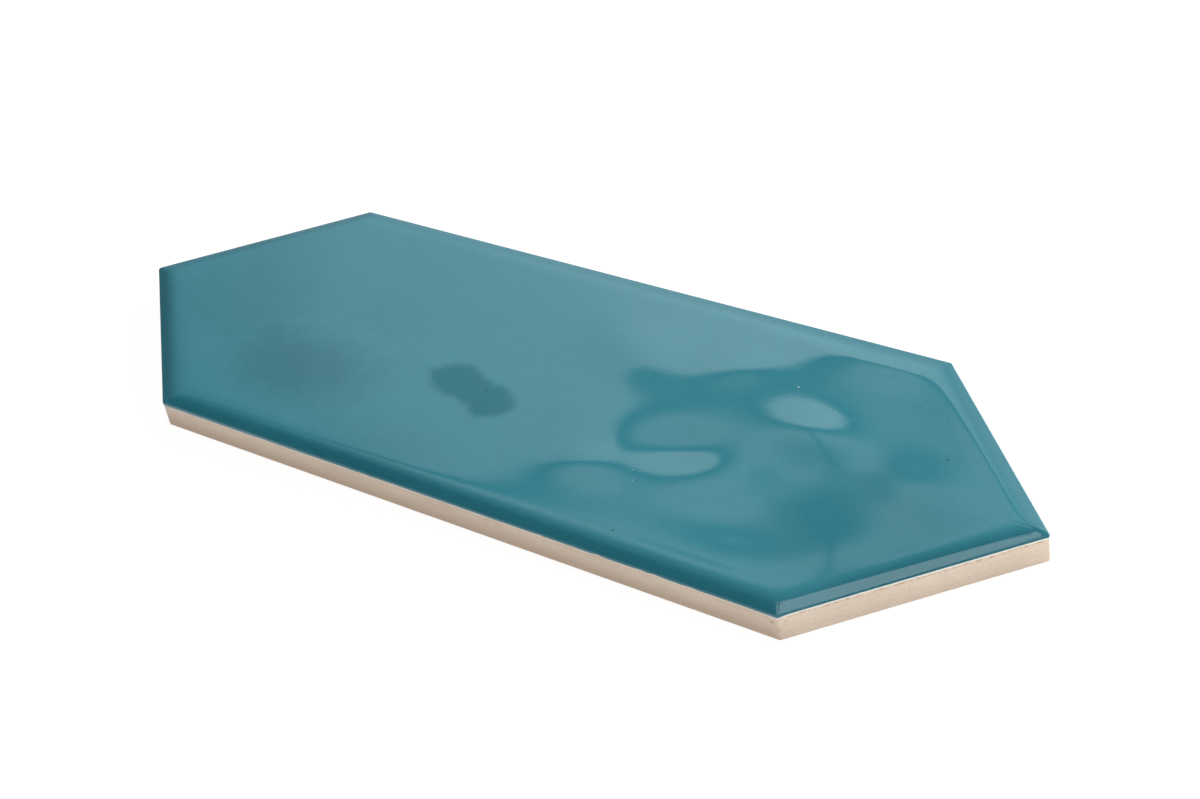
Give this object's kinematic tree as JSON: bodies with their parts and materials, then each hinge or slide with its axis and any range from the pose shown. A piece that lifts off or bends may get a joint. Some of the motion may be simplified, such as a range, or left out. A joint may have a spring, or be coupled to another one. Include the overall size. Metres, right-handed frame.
{
  "type": "picket tile",
  "caption": "Elongated hexagonal picket wall tile with a pressed clay body, keyed back and a cushioned, softly undulating gloss glaze on its face",
  "frame": {"origin": "centre of the flat back, at floor level when the tile lies face up", "axes": "+X from point to point along the tile, +Y across the two long sides, +Z out of the glazed face"},
  "size_m": [0.2992, 0.102, 0.0101],
  "materials": {
    "glaze": "gloss blue-green glaze on the face and its rounded rim",
    "fired_clay": "bare fired clay on the sides and back, dusty buff",
    "engobe": "thin white slip line between the clay and the glaze"
  },
  "bodies": {
    "root": {"picket_tile": "glaze"}
  },
  "joints": []
}
